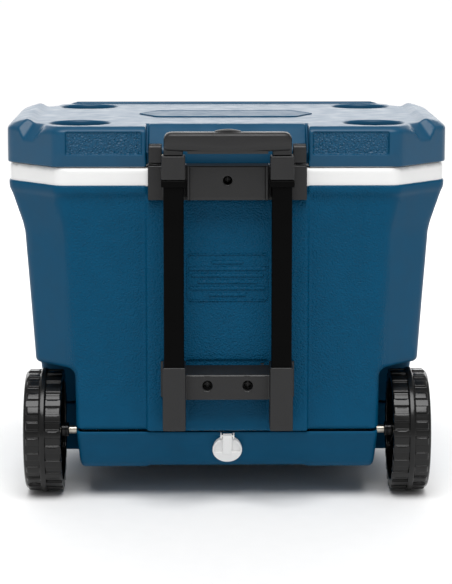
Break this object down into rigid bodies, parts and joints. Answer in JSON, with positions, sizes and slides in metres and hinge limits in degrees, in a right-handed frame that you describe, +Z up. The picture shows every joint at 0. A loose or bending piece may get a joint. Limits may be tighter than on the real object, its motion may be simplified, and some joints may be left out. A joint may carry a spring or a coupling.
{
  "type": "wheeled cooler",
  "caption": "Insulated hard cooler with a hinged lid, rear telescoping tow handle, wheels, drain cap and swing-up side handles.",
  "frame": {"origin": "centre of the whole cooler's box, on the ground", "axes": "+Z up; +X along the long side; -Y is the rear, where the tow handle is; the handle is stowed and the lid shut"},
  "size_m": [0.564, 0.438, 0.492],
  "materials": {
    "blue_plastic": "pebble-grained moulded polyethylene, smooth at the corners",
    "white_plastic": "satin moulded plastic",
    "black_plastic": "satin moulded plastic",
    "wheel_plastic": "glossy blow-moulded plastic",
    "black_tube": "glossy black powder-coated steel tube",
    "steel": "zinc-plated",
    "screw_steel": "blackened steel",
    "grip_rubber": "soft-touch rubber",
    "foot_rubber": "rubber",
    "foam": "rigid polyurethane foam, hidden"
  },
  "bodies": {
    "tub": {"outer_shell": "blue_plastic", "base_tray": "blue_plastic", "foam_core": "foam", "inner_liner": "white_plastic", "foot_pads": "foot_rubber", "axle": "steel", "axle_push_nuts": "steel", "wheel_spacers": "steel", "upper_bracket": "black_plastic", "upper_bracket_screw": "screw_steel", "lower_bracket": "black_plastic", "lower_bracket_screws": "screw_steel", "outer_tube_left": "black_tube", "outer_tube_right": "black_tube", "outer_collar_left": "black_tube", "outer_collar_right": "black_tube", "drain_spout": "white_plastic", "drain_gasket": "foot_rubber", "drain_nut": "white_plastic", "drain_pin": "steel", "side_handle_pins": "steel"},
    "lid": {"lid_shell": "blue_plastic", "lid_foam": "foam", "lid_liner": "white_plastic", "lid_badge": "blue_plastic", "lid_hinge_left": "black_plastic", "lid_hinge_right": "black_plastic", "hinge_pin_left": "steel", "hinge_pin_right": "steel"},
    "middle_stage": {"mid_tube_left": "black_tube", "mid_tube_right": "black_tube", "mid_collar_left": "black_plastic", "mid_collar_right": "black_plastic", "mid_foot_bushes": "white_plastic"},
    "tow_handle": {"inner_tube_left": "black_tube", "inner_tube_right": "black_tube", "inner_foot_bushes": "white_plastic", "grip": "black_plastic", "grip_insert": "grip_rubber"},
    "release": {"release_button": "black_plastic", "lock_rods": "steel"},
    "left_wheel": {"wheel_left": "wheel_plastic", "hub_cap_left": "wheel_plastic"},
    "right_wheel": {"wheel_right": "wheel_plastic", "hub_cap_right": "wheel_plastic"},
    "drain_lid": {"drain_cap": "white_plastic"},
    "left_bail": {"side_handle_left": "black_plastic"},
    "right_bail": {"side_handle_right": "black_plastic"}
  },
  "joints": [
    {"name": "lid_hinge", "type": "hinge", "parent": "tub", "child": "lid", "pos_m": [0, -0.167, 0.45], "axis": [-1, 0, 0], "range_deg": [-70, 0]},
    {"name": "tow_lower_stage", "type": "slide", "parent": "tub", "child": "middle_stage", "axis": [0, 0, 1], "range_m": [0, 0.24]},
    {"name": "tow_upper_stage", "type": "slide", "parent": "middle_stage", "child": "tow_handle", "axis": [0, 0, 1], "range_m": [0, 0.24]},
    {"name": "release_press", "type": "slide", "parent": "tow_handle", "child": "release", "axis": [0, 0, -1], "range_m": [0, 0.004], "stiffness_N_per_m": 600},
    {"name": "left_wheel_spin", "type": "hinge", "parent": "tub", "child": "left_wheel", "pos_m": [-0.238, -0.084, 0.0815], "axis": [1, 0, 0], "continuous": true},
    {"name": "right_wheel_spin", "type": "hinge", "parent": "tub", "child": "right_wheel", "pos_m": [0.238, -0.084, 0.0815], "axis": [1, 0, 0], "continuous": true},
    {"name": "drain_cap_hinge", "type": "hinge", "parent": "tub", "child": "drain_lid", "pos_m": [0, -0.16048, 0.08857], "axis": [-1, 0, 0], "range_deg": [0, 110]},
    {"name": "left_bail_swing", "type": "hinge", "parent": "tub", "child": "left_bail", "pos_m": [-0.251, 0.025, 0.386], "axis": [0, 1, 0], "range_deg": [0, 90]},
    {"name": "right_bail_swing", "type": "hinge", "parent": "tub", "child": "right_bail", "pos_m": [0.251, 0.025, 0.386], "axis": [0, -1, 0], "range_deg": [0, 90]}
  ]
}
